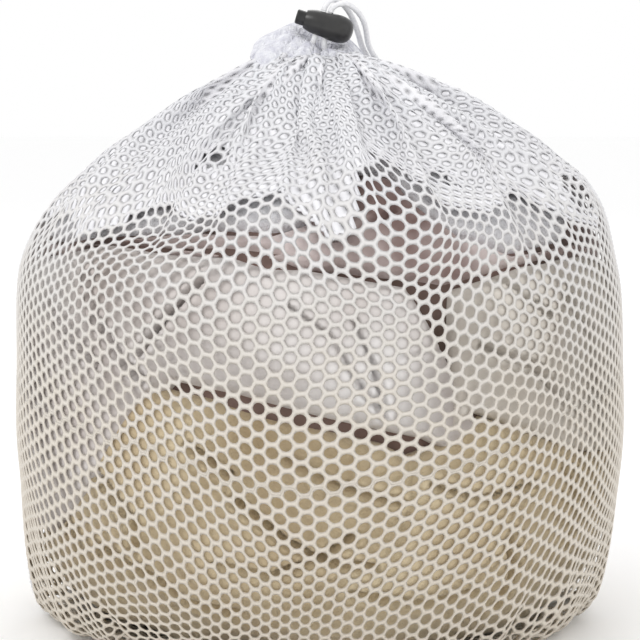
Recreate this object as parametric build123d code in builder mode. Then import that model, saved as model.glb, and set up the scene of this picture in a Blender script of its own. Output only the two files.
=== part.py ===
"""Mesh laundry bag, filled and drawn shut, with a spring cord lock on its drawstring.

Millimetres, +Z up, +X to the right seen from the front, front facing -Y.
The origin is the centre of the base, on the surface that the bag stands on.
"""
import os
from math import cos, radians, sin, tan

from build123d import *

os.makedirs("parts", exist_ok=True)

# Net bag, filled: radius and height of its side from the flat base to the mouth
BAG_OUTLINE = [
    (88, 0),
    (108, 7),
    (124, 24),
    (130.5, 60),
    (131, 110),
    (128.5, 158),
    (114, 187),
    (81, 214),
    (48.5, 234),
    (19, 246.5),
]
NET_THICKNESS = 1.2
LOAD_CLEARANCE = 0.4        # between the net and what it holds
SEAM_WIDTH = 2.4            # overlocked seam between the front and back panels
SEAM_GAP = 0.1
SIDE_SEAM_FOOT = 10         # the side seams end here and the bottom seam begins

# Gathered hem: a bunch of pleats, high at the back left and low at the front right
HEM_RADIUS = 17.5
HEM_BASE = 237
HEM_HEIGHT = 254.5          # of its sloping top, above the origin
HEM_SLOPE_X = -0.30
HEM_SLOPE_Y = 0.30
HEM_ROUNDING = 3
HEM_CLEARANCE = 0.3

# Drawstring
CORD_DIAMETER = 2.5
CHANNEL_DIAMETER = 3.2
CHANNEL_EASE = 0.1          # wider where the cord leaves the hem
CORD_SPACING = 3.0          # between the two cords where they pass the lock
CORD_RADIUS_SHARE = 0.45    # of the shorter run that each bend may use

# Cord lock: an egg-shaped barrel with a plunger in its blunt end
LOCK_CENTRE = (1.35, -8, 259)
LOCK_TILT = 17              # degrees that the pointed end dips below the button
BARREL_BACK = -8.1          # blunt end, along the lock's axis from the cord hole
BARREL_BACK_RADIUS = 3.85
BARREL_RADIUS = 5.6
BARREL_WIDEST = 1.5
BARREL_TIP = 13.2
HOLE_LENGTH = 5.9
HOLE_WIDTH = 3.1
BORE_RADIUS = 3.25
BORE_END = 7.8
SPRING_POCKET_RADIUS = 2.3
SPRING_POCKET_END = 11.3

PLUNGER_RADIUS = 3.15
PLUNGER_BACK = -12.1
PLUNGER_FRONT = 4.2
PLUNGER_TRAVEL = 3.4
PLUNGER_ROUNDING = 0.8
CORD_PINCH_GAP = 0.1        # between the plunger's slot and the cords at rest
SPRING_SEAT_RADIUS = 1.2
SPRING_SEAT_LENGTH = 1.2

SPRING_RADIUS = 1.75
SPRING_WIRE = 0.35
SPRING_TURNS = 5

KNOT_RADIUS = 4.2
KNOT_LENGTH = 8
KNOT_ROUNDING = 1.0
KNOT_RAISE = 1.3            # of the knot's middle above the cords that enter it
KNOT_END_LENGTH = 9

# Where the folded laundry changes from one piece to the next: height at the middle
# of the bag, and how it rises to the right and to the back
JUMPER_TOP = (84, 0.10, 0.05)
SHIRT_TOP = (156, 0.02, -0.06)
BLOUSE_TOP = (184, -0.05, 0.08)
LOAD_TOP = 224
VEST_SIDE = 42              # the vest lies to the right of this
SCARF_SIDE = 8              # the scarf lies to the right of this
GARMENT_GAP = 0.2

tilt = radians(LOCK_TILT)
lock_axis = Vector(cos(tilt), 0, -sin(tilt))
hole_axis = Vector(sin(tilt), 0, cos(tilt))
lock_centre = Vector(*LOCK_CENTRE)
lock_side = Plane(origin=lock_centre, x_dir=lock_axis, z_dir=(0, -1, 0))
lock_above = Plane(origin=lock_centre, x_dir=lock_axis, z_dir=hole_axis)


def in_lock(along, up):
    """Point in the lock's middle plane, along its axis and up its cord hole."""
    return lock_centre + lock_axis * along + hole_axis * up


def save(part, name):
    part.label = name
    export_step(part, f"parts/{name}.step")


def bag_side(inset):
    """Points up the bag's side, drawn in by inset at right angles to it."""
    points = []
    for i, (radius, height) in enumerate(BAG_OUTLINE):
        before = BAG_OUTLINE[max(i - 1, 0)]
        after = BAG_OUTLINE[min(i + 1, len(BAG_OUTLINE) - 1)]
        rise = Vector(after[0] - before[0], after[1] - before[1]).normalized()
        inward = (-rise.Y, rise.X) if i else (0, 1)
        points.append((radius + inset * inward[0], height + inset * inward[1]))
    return points


def bag_volume(inset):
    """The filled bag's volume, drawn in on every side by inset."""
    side = bag_side(inset)
    foot, mouth = side[0][1], side[-1][1]
    with BuildPart() as volume:
        with BuildSketch(Plane.XZ):
            with BuildLine():
                Polyline((0, mouth), (0, foot), side[0])
                Spline(*side)
                Line(side[-1], (0, mouth))
            make_face()
        revolve(axis=Axis.Z)
    return volume.part


def corner_radii(route):
    """As large an arc at each corner of a route as its two runs leave room for."""
    radii = []
    for a, b, c in zip(route, route[1:], route[2:]):
        arriving, leaving = Vector(*b) - Vector(*a), Vector(*c) - Vector(*b)
        half_turn = radians(arriving.get_angle(leaving)) / 2
        shorter = min(arriving.length, leaving.length)
        radii.append(CORD_RADIUS_SHARE * shorter / tan(half_turn))
    return radii


def report(name, route, length):
    radii = ", ".join(f"{r:.1f}" for r in corner_radii(route))
    print(f"{name}: length {length:.1f} mm, arc radii {radii}")


def tube(route, diameter):
    """A round tube along straight runs joined by arcs, and its centre line."""
    with BuildPart() as run:
        with BuildLine():
            path = FilletPolyline(*route, radius=corner_radii(route))
        with BuildSketch(Plane(origin=path @ 0, z_dir=path % 0)):
            Circle(diameter / 2)
        sweep()
    return run.part, path


def garment(name, load, under, over, side=None, keep=Keep.TOP):
    """The part of the load between two sloping levels, and on one side of a wall."""
    with BuildPart() as piece:
        add(load)
        if under is not None:
            split(bisect_by=under, keep=Keep.TOP)
        if over is not None:
            split(bisect_by=over.offset(-GARMENT_GAP), keep=Keep.BOTTOM)
        if side is not None:
            split(bisect_by=side, keep=keep)
    save(piece.part, name)


def level(height, rise_right, rise_back):
    return Plane(origin=(0, 0, height), z_dir=(-rise_right, -rise_back, 1))


# Net panels and the seams between them ------------------------------------------

outer_side, inner_side = bag_side(0), bag_side(NET_THICKNESS)
mouth_plane = Plane.XY.offset(HEM_BASE)

with BuildPart() as net_skin:
    with BuildSketch(Plane.XZ):
        with BuildLine():
            Polyline(inner_side[0], (0, NET_THICKNESS), (0, 0), outer_side[0])
            Spline(*outer_side)
            Line(outer_side[-1], inner_side[-1])
            Spline(*inner_side)
        make_face()
    revolve(axis=Axis.Z)
    with BuildSketch(mouth_plane):
        Circle(HEM_RADIUS + HEM_CLEARANCE)
    extrude(amount=HEM_RADIUS, mode=Mode.SUBTRACT)


def net_slice(near, far, lowest=-1.0, highest=300.0, left=-200.0, right=200.0):
    """The part of the net's skin between two depths, two heights and two sides."""
    with BuildPart() as piece:
        add(net_skin.part)
        with BuildSketch(Plane.XY.offset(lowest)):
            with Locations(((left + right) / 2, (near + far) / 2)):
                Rectangle(right - left, far - near)
        extrude(amount=highest - lowest, mode=Mode.INTERSECT)
    return piece.part


seam_edge = SEAM_WIDTH / 2
net_front = net_slice(-200, -seam_edge - SEAM_GAP)
save(net_front, "net_front")
net_back = net_slice(seam_edge + SEAM_GAP, 200)
save(net_back, "net_back")
side_seam_left = net_slice(-seam_edge, seam_edge, lowest=SIDE_SEAM_FOOT, right=0)
save(side_seam_left, "side_seam_left")
side_seam_right = net_slice(-seam_edge, seam_edge, lowest=SIDE_SEAM_FOOT, left=0)
save(side_seam_right, "side_seam_right")
bottom_seam = net_slice(-seam_edge, seam_edge, highest=SIDE_SEAM_FOOT - SEAM_GAP)
save(bottom_seam, "bottom_seam")

# Drawstring inside the hem ----------------------------------------------------------

left_riser = in_lock(-CORD_SPACING / 2, 0)
right_riser = in_lock(CORD_SPACING / 2, 0)
riser_top = hole_axis * BARREL_RADIUS
loop_route = [
    tuple(left_riser + riser_top),
    tuple(left_riser - hole_axis * 13),
    (-9.5, -7.5, 243),
    (-12, 1, 243.5),
    (-6.5, 9.5, 244.5),
    (3, 11.5, 244.5),
    (10.5, 6, 243.5),
    (10.5, -3.5, 242.5),
    tuple(right_riser - hole_axis * 13),
    tuple(right_riser + riser_top),
]

drawstring_loop, loop_path = tube(loop_route, CORD_DIAMETER)
save(drawstring_loop, "drawstring_loop")
report("drawstring_loop", loop_route, loop_path.length)

# Gathered hem, with the channel that the drawstring runs in -------------------------

hem_top = Plane(origin=(0, 0, HEM_HEIGHT), z_dir=(-HEM_SLOPE_X, -HEM_SLOPE_Y, 1))
channel_left = tube(loop_route[:-2], CHANNEL_DIAMETER)[0]
channel_right = tube(loop_route[-4:], CHANNEL_DIAMETER + CHANNEL_EASE)[0]

with BuildPart() as hem_casing:
    with BuildSketch(mouth_plane):
        Circle(HEM_RADIUS)
    extrude(amount=2 * HEM_RADIUS)
    split(bisect_by=hem_top, keep=Keep.BOTTOM)
    fillet(hem_casing.faces().sort_by(Axis.Z)[-1].edges(), HEM_ROUNDING)
    add(channel_left, mode=Mode.SUBTRACT)
    add(channel_right, mode=Mode.SUBTRACT)
save(hem_casing.part, "hem_casing")

# Free ends of the drawstring ----------------------------------------------------------
# Both leave the top of the lock, cross in one arch over it, pass behind the bunched
# hem, lie down the back of the bag and end in one knot on the surface behind it.

tail_a_route = [
    tuple(left_riser + riser_top),
    tuple(left_riser + hole_axis * 8.4),
    (5.4, -6.8, 270.0),
    (9.2, -3.6, 268.2),
    (12.4, -0.6, 264.6),
    (14.9, 3.4, 259.6),
    (16.8, 8.4, 254.2),
    (18.2, 15, 249.3),
    (20.5, 24, 244.9),
    (25, 38, 238.5),
    (31, 54, 229.5),
    (36, 71.5, 218),
    (39.5, 90, 204.5),
    (42.5, 111.5, 190),
    (44, 123.5, 166),
    (43.5, 128, 134),
    (45, 126, 100),
    (48, 125.5, 67),
    (48.5, 124.5, 38),
    (47, 126.5, 18),
    (46, 132, 5),
    (44.5, 142.5, 1.3),
    (37, 153, 1.3),
    (19.5, 159, 1.3),
    (-3, 154.5, 1.4),
    (-22, 149.2, 2.4),
    (-38, 146, 3.0),
]
tail_b_route = [
    tuple(right_riser + riser_top),
    tuple(right_riser + hole_axis * 7.8),
    (7.6, -8.2, 267.6),
    (11.4, -6.9, 268.0),
    (15.4, -3.4, 265.4),
    (18.4, 0.6, 261.6),
    (20.0, 5, 256.6),
    (20.6, 10.6, 251.6),
    (22.2, 18, 247.2),
    (26, 29, 241.8),
    (31.5, 43, 234.4),
    (38.5, 59, 224.6),
    (45, 75.5, 212.8),
    (50.5, 97, 198.5),
    (53.5, 114.5, 179),
    (53.5, 124, 152),
    (51.5, 124.5, 121),
    (50.5, 123, 88),
    (53.5, 122, 57),
    (55.5, 122.5, 33),
    (56, 126, 15.5),
    (55.5, 133, 4),
    (53, 144, 1.3),
    (44.5, 157.5, 1.3),
    (25, 164.5, 1.3),
    (-2, 158.5, 1.4),
    (-22.6, 152.1, 2.4),
    (-38.6, 148.9, 3.0),
]


cord_tail_a, path_a = tube(tail_a_route, CORD_DIAMETER)
save(cord_tail_a, "cord_tail_a")
report("cord_tail_a", tail_a_route, path_a.length)

cord_tail_b, path_b = tube(tail_b_route, CORD_DIAMETER)
save(cord_tail_b, "cord_tail_b")
report("cord_tail_b", tail_b_route, path_b.length)

# The knot takes both cords in at one end, and two short ends stand out of the other
knot_axis = path_a % 1
knot_side = knot_axis.cross(Vector(0, 0, 1)).normalized()
knot_up = knot_side.cross(knot_axis)
knot_face = (path_a @ 1 + path_b @ 1) * 0.5 + knot_up * KNOT_RAISE

with BuildPart() as end_knot:
    with BuildSketch(Plane(origin=knot_face, z_dir=knot_axis)):
        Circle(KNOT_RADIUS)
    extrude(amount=KNOT_LENGTH)
    fillet(end_knot.edges().filter_by(GeomType.CIRCLE), KNOT_ROUNDING)
    for side in (-1, 1):
        across = knot_side * (side * CORD_DIAMETER * 0.6)
        with BuildSketch(Plane(origin=knot_face + knot_axis * KNOT_LENGTH + across, z_dir=knot_axis)):
            Circle(CORD_DIAMETER / 2)
        extrude(amount=KNOT_END_LENGTH)
save(end_knot.part, "end_knot")

# Cord lock ------------------------------------------------------------------------------

with BuildPart() as lock_barrel:
    with BuildSketch(lock_side):
        with BuildLine():
            Line((BARREL_BACK, 0), (BARREL_BACK, BARREL_BACK_RADIUS))
            Spline(
                (BARREL_BACK, BARREL_BACK_RADIUS),
                (BARREL_WIDEST, BARREL_RADIUS),
                (BARREL_TIP, 0),
                tangents=[(1, 0.45), (0, -1)],
            )
            Line((BARREL_TIP, 0), (BARREL_BACK, 0))
        make_face()
    revolve(axis=Axis(lock_centre, lock_axis))
    with BuildSketch(Plane(origin=in_lock(BARREL_BACK, 0), z_dir=lock_axis)):
        Circle(BORE_RADIUS)
    extrude(amount=BORE_END - BARREL_BACK, mode=Mode.SUBTRACT)
    with BuildSketch(Plane(origin=in_lock(BORE_END, 0), z_dir=lock_axis)):
        Circle(SPRING_POCKET_RADIUS)
    extrude(amount=SPRING_POCKET_END - BORE_END, mode=Mode.SUBTRACT)
    with BuildSketch(lock_above):
        SlotOverall(HOLE_LENGTH, HOLE_WIDTH)
    extrude(amount=2 * BARREL_RADIUS, both=True, mode=Mode.SUBTRACT)
save(lock_barrel.part, "lock_barrel")

slot_front = CORD_SPACING / 2 + CORD_DIAMETER / 2 + CORD_PINCH_GAP
slot_back = -slot_front - PLUNGER_TRAVEL

with BuildPart() as lock_plunger:
    with BuildSketch(Plane(origin=in_lock(PLUNGER_BACK, 0), z_dir=lock_axis)):
        Circle(PLUNGER_RADIUS)
    extrude(amount=PLUNGER_FRONT - PLUNGER_BACK)
    cap_edge = lock_plunger.edges().filter_by(GeomType.CIRCLE).sort_by(Axis.X)[0]
    fillet(cap_edge, PLUNGER_ROUNDING)
    with BuildSketch(Plane(origin=in_lock(PLUNGER_FRONT, 0), z_dir=lock_axis)):
        Circle(SPRING_SEAT_RADIUS)
    extrude(amount=SPRING_SEAT_LENGTH)
    with BuildSketch(lock_above):
        with Locations(((slot_front + slot_back) / 2, 0)):
            SlotOverall(slot_front - slot_back, HOLE_WIDTH - CORD_PINCH_GAP)
    extrude(amount=2 * BARREL_RADIUS, both=True, mode=Mode.SUBTRACT)
save(lock_plunger.part, "lock_plunger")

spring_start = PLUNGER_FRONT + SPRING_WIRE / 2 + 0.02
spring_length = SPRING_POCKET_END - SPRING_WIRE / 2 - 0.02 - spring_start

with BuildPart() as lock_spring:
    with BuildLine():
        coil = Helix(
            pitch=spring_length / SPRING_TURNS,
            height=spring_length,
            radius=SPRING_RADIUS,
            center=in_lock(spring_start, 0),
            direction=lock_axis,
        )
    with BuildSketch(Plane(origin=coil @ 0, z_dir=coil % 0)):
        Circle(SPRING_WIRE / 2)
    sweep(is_frenet=True)
save(lock_spring.part, "lock_spring")

# Laundry that fills the bag and holds its shape ---------------------------------------

load = bag_volume(NET_THICKNESS + LOAD_CLEARANCE)
jumper_top = level(*JUMPER_TOP)
shirt_top = level(*SHIRT_TOP)
blouse_top = level(*BLOUSE_TOP)
load_top = Plane.XY.offset(LOAD_TOP)
vest_side = Plane(origin=(VEST_SIDE, 0, 0), z_dir=(1, 0, 0.25))
scarf_side = Plane(origin=(SCARF_SIDE, 0, 0), z_dir=(1, -0.2, 0))

garment("knit_jumper", load, None, jumper_top)
garment("white_shirt", load, jumper_top, shirt_top, vest_side.offset(-GARMENT_GAP), Keep.BOTTOM)
garment("cream_vest", load, jumper_top, shirt_top, vest_side)
garment("pink_blouse", load, shirt_top, blouse_top)
garment("white_towel", load, blouse_top, load_top, scarf_side.offset(-GARMENT_GAP), Keep.BOTTOM)
garment("brown_scarf", load, blouse_top, load_top, scarf_side)
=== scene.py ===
from math import cos, pi, radians, sin

import bpy
import numpy as np
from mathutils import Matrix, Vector


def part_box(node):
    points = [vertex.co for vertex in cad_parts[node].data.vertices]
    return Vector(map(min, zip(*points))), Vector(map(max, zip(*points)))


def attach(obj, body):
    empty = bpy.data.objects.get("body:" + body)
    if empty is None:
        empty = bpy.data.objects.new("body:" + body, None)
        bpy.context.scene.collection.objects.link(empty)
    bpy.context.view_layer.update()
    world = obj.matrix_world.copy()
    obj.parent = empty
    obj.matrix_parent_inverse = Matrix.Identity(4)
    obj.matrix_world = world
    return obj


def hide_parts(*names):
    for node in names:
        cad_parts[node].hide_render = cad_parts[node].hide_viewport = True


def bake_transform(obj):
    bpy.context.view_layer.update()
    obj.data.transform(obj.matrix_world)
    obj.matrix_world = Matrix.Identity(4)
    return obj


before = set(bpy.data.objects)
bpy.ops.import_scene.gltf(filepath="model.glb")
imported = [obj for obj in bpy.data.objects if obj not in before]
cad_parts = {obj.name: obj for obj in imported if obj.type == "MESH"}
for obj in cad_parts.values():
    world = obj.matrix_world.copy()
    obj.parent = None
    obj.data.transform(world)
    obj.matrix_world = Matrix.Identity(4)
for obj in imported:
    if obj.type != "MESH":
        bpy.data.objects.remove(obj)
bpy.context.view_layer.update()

SEED = 5

# Filled bag and its load, revolved: (radius, height) up the side
OUTLINE = np.array([(76, 0), (97, 6), (113.5, 19.5), (125.5, 42), (131, 74), (131, 110), (128.5, 158),
                    (114, 187), (81, 214), (48.5, 234), (19, 246.5)]) / 1000
LOAD = np.array([(0, 1.2), (73, 1.2), (94, 7.2), (111, 20.5), (123.3, 42), (129, 74), (129.2, 110),
                 (126.3, 155), (110.5, 181.5), (97.5, 191.5), (88.5, 200), (75.5, 208.5), (62, 217),
                 (49, 225), (33, 231.5), (16, 235), (0, 236)]) / 1000
SUPPORT = np.array([(0, 1.2), (74, 1.2), (95, 6.8), (112, 20), (124.5, 42), (130.2, 74), (130.2, 110), (127, 155),
                    (111, 182), (98, 192), (89, 200.5), (76, 209), (63, 218), (49, 226), (35, 235.5), (20, 243.5),
                    (0, 246)]) / 1000
WIDTH, HEIGHT = 0.400, 0.420   # one panel, flat
COLUMNS, ROWS = 160, 85
FOOT = 0.060                   # how far the bottom seam is gathered in under the base
PLEATS = 23
LATTICE = (0.0049, 0.0064)     # columns and rows of holes
HOLE = 0.0044
HOLE_GATHERED = 0.0033         # where the net lies in gathers, three layers deep
STRAND = 0.0011


# ---- small helpers -------------------------------------------------------------------

def smooth_line(points, step):
    """Catmull-Rom line through the points, in even steps."""
    p = np.vstack([2 * points[0] - points[1], points, 2 * points[-1] - points[-2]])
    t = np.linspace(0, 1, 24, endpoint=False)[:, None]
    runs = []
    for a, b, c, d in zip(p, p[1:], p[2:], p[3:]):
        runs.append(0.5 * (2 * b + (c - a) * t + (2 * a - 5 * b + 4 * c - d) * t ** 2
                           + (3 * b - a - 3 * c + d) * t ** 3))
    line = np.vstack([*runs, points[-1:]])
    along = np.r_[0, np.cumsum(np.linalg.norm(np.diff(line, axis=0), axis=1))]
    at = np.arange(0, along[-1], step)
    return np.column_stack([np.interp(at, along, line[:, i]) for i in range(line.shape[1])])


def ease(x, a, b):
    t = np.clip((x - a) / (b - a), 0, 1)
    return t * t * (3 - 2 * t)


def add_mesh(name, points, faces, material, smooth=True):
    mesh = bpy.data.meshes.new(name)
    points = np.ascontiguousarray(points, dtype=np.float32)
    faces = [np.asarray(f, dtype=np.int32) for f in (faces if isinstance(faces, list) else [faces])]
    corners = np.concatenate([f.ravel() for f in faces])
    sizes = np.concatenate([np.full(len(f), f.shape[1], np.int32) for f in faces])
    mesh.vertices.add(len(points))
    mesh.vertices.foreach_set("co", points.ravel())
    mesh.loops.add(len(corners))
    mesh.loops.foreach_set("vertex_index", corners)
    mesh.polygons.add(len(sizes))
    mesh.polygons.foreach_set("loop_start", np.r_[0, np.cumsum(sizes)[:-1]].astype(np.int32))
    mesh.update(calc_edges=True)
    mesh.validate()
    mesh.shade_smooth() if smooth else mesh.shade_flat()
    piece = bpy.data.objects.new(name, mesh)
    bpy.context.scene.collection.objects.link(piece)
    mesh.materials.append(material)
    return piece


class Field:
    """Signed distance from a round profile, outside positive, looked up on a grid."""

    def __init__(self, profile, cell=0.001):
        self.cell = cell
        r = np.arange(0, 0.175, cell)
        z = np.arange(-0.01, 0.29, cell)
        self.foot = z[0]
        radius, height = np.meshgrid(r, z, indexing="ij")
        line = smooth_line(profile, 0.0005)
        at = np.column_stack([radius.ravel(), height.ravel()])
        best = np.full(len(at), 1e9)
        for a, b in zip(line, line[1:]):
            ab = b - a
            t = np.clip(((at - a) @ ab) / (ab @ ab), 0, 1)
            best = np.minimum(best, np.linalg.norm(at - a - t[:, None] * ab, axis=1))
        rim = np.interp(at[:, 1], line[:, 1], line[:, 0])
        inside = (at[:, 0] < rim) & (at[:, 1] > line[0, 1]) & (at[:, 1] < line[-1, 1])
        best[inside] *= -1
        self.gap = best.reshape(radius.shape)
        self.out, self.up = np.gradient(self.gap, cell)

    def look(self, r, z):
        i = np.clip(r / self.cell, 0, self.gap.shape[0] - 1.001)
        j = np.clip((z - self.foot) / self.cell, 0, self.gap.shape[1] - 1.001)
        i0, j0 = i.astype(int), j.astype(int)
        fi, fj = i - i0, j - j0

        def at(g):
            return ((g[i0, j0] * (1 - fi) + g[i0 + 1, j0] * fi) * (1 - fj)
                    + (g[i0, j0 + 1] * (1 - fi) + g[i0 + 1, j0 + 1] * fi) * fj)
        return at(self.gap), at(self.out), at(self.up)


# ---- materials -----------------------------------------------------------------------

def material(name, colour, roughness, **sockets):
    m = bpy.data.materials.new(name)
    m.use_nodes = True
    shader = m.node_tree.nodes["Principled BSDF"]
    shader.inputs["Base Color"].default_value = (*colour, 1)
    shader.inputs["Roughness"].default_value = roughness
    for key, value in sockets.items():
        shader.inputs[key.replace("_", " ")].default_value = value
    return m


def node(m, kind, **inputs):
    n = m.node_tree.nodes.new(kind)
    for key, value in inputs.items():
        n.inputs[key].default_value = value
    return n


def where(m, scale=(1, 1, 1), turn=(0, 0, 0)):
    """Object coordinates, stretched."""
    coords = m.node_tree.nodes.new("ShaderNodeTexCoord")
    mapping = m.node_tree.nodes.new("ShaderNodeMapping")
    mapping.inputs["Scale"].default_value = scale
    mapping.inputs["Rotation"].default_value = turn
    m.node_tree.links.new(coords.outputs["Object"], mapping.inputs["Vector"])
    return mapping.outputs["Vector"]


def tint(m, colour_a, colour_b, scale, detail=4, low=0.35, high=0.65):
    """Base colour wanders between two colours."""
    links = m.node_tree.links
    noise = node(m, "ShaderNodeTexNoise", Scale=scale, Detail=detail)
    links.new(where(m), noise.inputs["Vector"])
    ramp = m.node_tree.nodes.new("ShaderNodeValToRGB")
    ramp.color_ramp.elements[0].position = low
    ramp.color_ramp.elements[1].position = high
    ramp.color_ramp.elements[0].color = (*colour_a, 1)
    ramp.color_ramp.elements[1].color = (*colour_b, 1)
    links.new(noise.outputs["Fac"], ramp.inputs["Fac"])
    links.new(ramp.outputs["Color"], m.node_tree.nodes["Principled BSDF"].inputs["Base Color"])
    return ramp


def relief(m, height, depth, strength=1.0):
    links = m.node_tree.links
    bump = node(m, "ShaderNodeBump", Strength=strength, Distance=depth)
    links.new(height, bump.inputs["Height"])
    shader = m.node_tree.nodes["Principled BSDF"]
    if shader.inputs["Normal"].is_linked:
        links.new(shader.inputs["Normal"].links[0].from_socket, bump.inputs["Normal"])
    links.new(bump.outputs["Normal"], shader.inputs["Normal"])


def weave(m, pitch, depth, turn=(0, 0, 0)):
    """Plain weave: two crossed bands of threads."""
    links = m.node_tree.links
    bands = []
    for axis in ("X", "Z"):
        wave = node(m, "ShaderNodeTexWave", Scale=0.05 * 2 * pi / pitch / pi, Distortion=0.6, Detail=1.0)
        wave.bands_direction = axis
        links.new(where(m, turn=turn), wave.inputs["Vector"])
        bands.append(wave.outputs["Fac"])
    both = m.node_tree.nodes.new("ShaderNodeMath")
    both.operation = "MULTIPLY"
    links.new(bands[0], both.inputs[0])
    links.new(bands[1], both.inputs[1])
    relief(m, both.outputs[0], depth)


def nap(m, scale, depth, detail=3):
    noise = node(m, "ShaderNodeTexNoise", Scale=scale, Detail=detail)
    m.node_tree.links.new(where(m), noise.inputs["Vector"])
    relief(m, noise.outputs["Fac"], depth)


def by_height(m, stops, mottled=0.10, scale=70):
    """Base colour by height up the bag, mottled a little."""
    links = m.node_tree.links
    split = m.node_tree.nodes.new("ShaderNodeSeparateXYZ")
    links.new(where(m), split.inputs["Vector"])
    noise = node(m, "ShaderNodeTexNoise", Scale=scale, Detail=3.0)
    links.new(where(m), noise.inputs["Vector"])
    height = node(m, "ShaderNodeMath")
    height.operation = "MULTIPLY_ADD"
    height.inputs[1].default_value = 4.0
    links.new(split.outputs["Z"], height.inputs[0])
    shift = node(m, "ShaderNodeMath")
    shift.operation = "MULTIPLY_ADD"
    shift.inputs[1].default_value = mottled * 2
    shift.inputs[2].default_value = -mottled
    links.new(noise.outputs["Fac"], shift.inputs[0])
    links.new(shift.outputs[0], height.inputs[2])
    ramp = m.node_tree.nodes.new("ShaderNodeValToRGB")
    while len(ramp.color_ramp.elements) < len(stops):
        ramp.color_ramp.elements.new(0.5)
    for element, (z, colour) in zip(ramp.color_ramp.elements, stops):
        element.position = z * 4
        element.color = (*colour, 1)
    links.new(height.outputs[0], ramp.inputs["Fac"])
    links.new(ramp.outputs["Color"], m.node_tree.nodes["Principled BSDF"].inputs["Base Color"])


# The net's colour by height is painted light: cream and darker low down, cooler and paler high up, standing in for
# light let through and bounced from the garments behind the white strands.
white_net = material("white_net", (0.80, 0.80, 0.80), 0.45, Sheen_Weight=0.08)
by_height(white_net, [(0.0, (0.62, 0.56, 0.475)), (0.10, (0.65, 0.60, 0.53)), (0.15, (0.66, 0.635, 0.605)),
                      (0.20, (0.70, 0.695, 0.71)), (0.245, (0.71, 0.715, 0.745))])

# A lighter copy of the white net for the folded layers under the gathers: painted light, lifting the shade that falls
# in the holes.
net_gathers_painted_light = material("net_gathers_painted_light", (0.90, 0.90, 0.92), 0.6)
tint(net_gathers_painted_light, (0.74, 0.735, 0.76), (0.82, 0.815, 0.84), 60)

seam_tape = material("seam_tape", (0.80, 0.80, 0.80), 0.6)
tint(seam_tape, (0.70, 0.70, 0.71), (0.80, 0.80, 0.81), 400)
hem_tape = material("hem_tape", (0.76, 0.765, 0.80), 0.5)
tint(hem_tape, (0.60, 0.60, 0.67), (0.80, 0.805, 0.84), 260)
mesh_cells = node(hem_tape, "ShaderNodeTexVoronoi", Scale=420.0)
mesh_cells.feature = "DISTANCE_TO_EDGE"
hem_tape.node_tree.links.new(where(hem_tape), mesh_cells.inputs["Vector"])
flipped = node(hem_tape, "ShaderNodeMath")
flipped.operation = "SUBTRACT"
flipped.inputs[0].default_value = 1.0
hem_tape.node_tree.links.new(mesh_cells.outputs["Distance"], flipped.inputs[1])
relief(hem_tape, flipped.outputs[0], 0.0012)
cord_white = material("drawstring", (0.82, 0.82, 0.83), 0.42)
tint(cord_white, (0.74, 0.74, 0.76), (0.84, 0.84, 0.85), 900)

cream_knit = material("cream_knit", (0.58, 0.47, 0.30), 0.9, Sheen_Weight=0.3, Sheen_Roughness=0.5)
tint(cream_knit, (0.50, 0.39, 0.24), (0.66, 0.55, 0.37), 22, low=0.3, high=0.62)
nap(cream_knit, 900, 0.0006)
# The white shirt's darker beige-grey tones are painted shade: the shirt lies in shade inside the bag.
white_cotton = material("white_cotton", (0.58, 0.54, 0.51), 0.8, Sheen_Weight=0.2)
tint(white_cotton, (0.47, 0.41, 0.38), (0.84, 0.82, 0.81), 13, low=0.34, high=0.72)
weave(white_cotton, 0.0008, 0.0001)
cream_cotton = material("cream_cotton", (0.62, 0.57, 0.51), 0.8, Sheen_Weight=0.2)
tint(cream_cotton, (0.58, 0.53, 0.47), (0.80, 0.76, 0.70), 12)
weave(cream_cotton, 0.0009, 0.0001)
dusty_pink = material("dusty_pink", (0.42, 0.30, 0.28), 0.75, Sheen_Weight=0.3)
tint(dusty_pink, (0.30, 0.20, 0.18), (0.80, 0.70, 0.68), 13, low=0.42, high=0.58)
weave(dusty_pink, 0.0007, 0.0001)
white_terry = material("white_terry", (0.82, 0.82, 0.85), 0.95, Sheen_Weight=0.3)
tint(white_terry, (0.82, 0.81, 0.83), (0.93, 0.93, 0.96), 18)
nap(white_terry, 700, 0.0010)
# Dark mauve-brown for the layer sunk under all the garments: painted shade in the gaps between them.
mauve_brown = material("mauve_brown", (0.20, 0.13, 0.11), 0.85, Sheen_Weight=0.2)
tint(mauve_brown, (0.10, 0.065, 0.05), (0.27, 0.18, 0.155), 30)
weave(mauve_brown, 0.0009, 0.0001)

lock_plastic = material("lock_plastic", (0.012, 0.0115, 0.011), 0.34, Coat_Weight=0.25, Coat_Roughness=0.22)
tint(lock_plastic, (0.006, 0.006, 0.006), (0.020, 0.019, 0.018), 120)
nap(lock_plastic, 160, 0.00008)
plunger_plastic = material("plunger_plastic", (0.010, 0.010, 0.011), 0.30)
tint(plunger_plastic, (0.006, 0.006, 0.006), (0.016, 0.016, 0.017), 200)
nap(plunger_plastic, 260, 0.00006)
spring_steel = material("spring_steel", (0.55, 0.55, 0.56), 0.3, Metallic=1.0)
tint(spring_steel, (0.45, 0.45, 0.46), (0.62, 0.62, 0.63), 300)


# ---- the net: a cloth of two panels pulled over the load ------------------------------

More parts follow.
